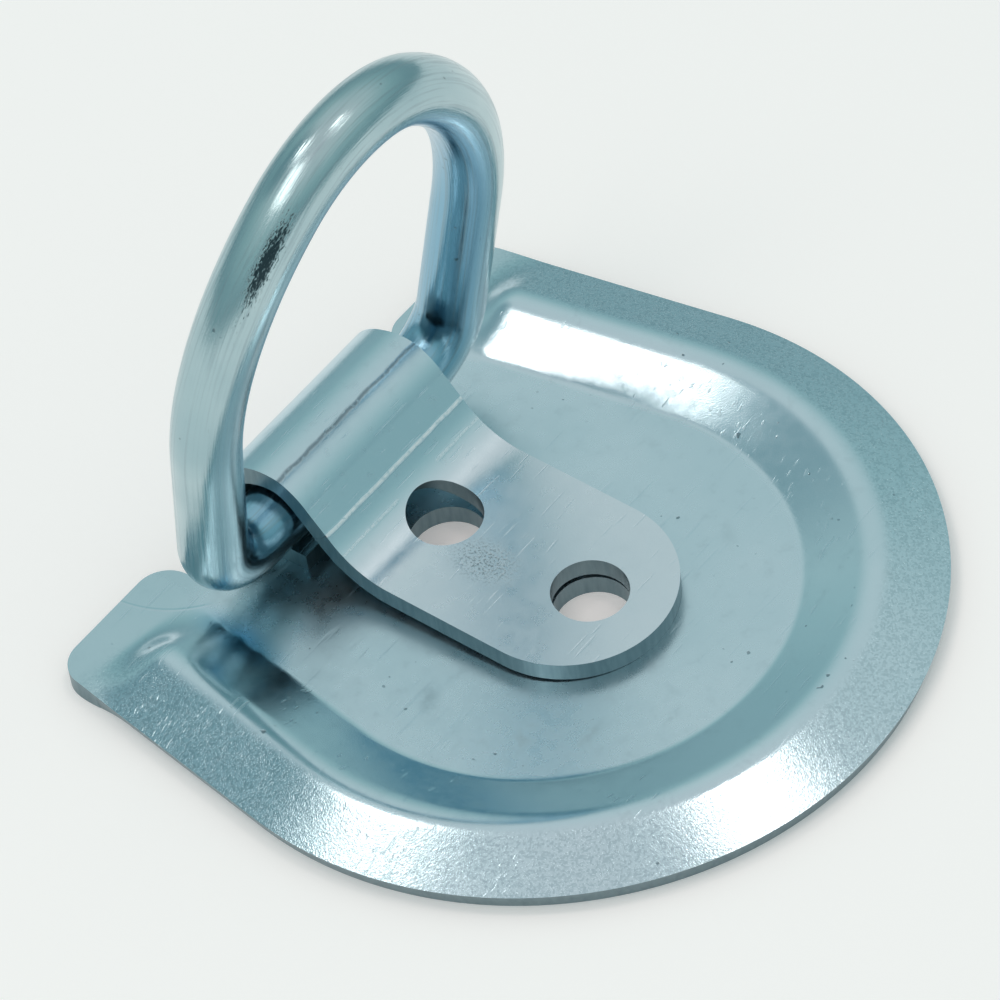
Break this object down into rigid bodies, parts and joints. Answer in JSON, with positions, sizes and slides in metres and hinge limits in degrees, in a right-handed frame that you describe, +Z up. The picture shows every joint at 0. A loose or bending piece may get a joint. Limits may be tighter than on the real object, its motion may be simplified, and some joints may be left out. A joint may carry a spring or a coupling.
{
  "type": "surface-mounted lashing ring plate",
  "caption": "Pressed half-round plate whose bent strap holds a hinged D-shaped lashing ring, bolted to a load floor through strap and plate.",
  "frame": {"origin": "on the underside of the plate, at the centre of its half-round end", "axes": "+Z up, away from the load floor; +Y from the half-round end to the straight hinge edge; +X along the hinge bar, across the plate"},
  "size_m": [0.09, 0.0855, 0.0717],
  "materials": {
    "plated_sheet": "bright zinc plating with a blue passivated tint, grainy where the sheet is stretched",
    "plated_strap": "bright zinc plating with a blue passivated tint, smooth, with press marks across its bends",
    "plated_bar": "bright zinc plating with a blue passivated tint on drawn round bar"
  },
  "bodies": {
    "plate": {"base_plate": "plated_sheet", "strap": "plated_strap"},
    "ring": {"lashing_ring": "plated_bar"}
  },
  "joints": [
    {"name": "ring_hinge", "type": "hinge", "parent": "plate", "child": "ring", "pos_m": [0, 0.029, 0.0092], "axis": [1, 0, 0], "range_deg": [-106, 79]}
  ]
}
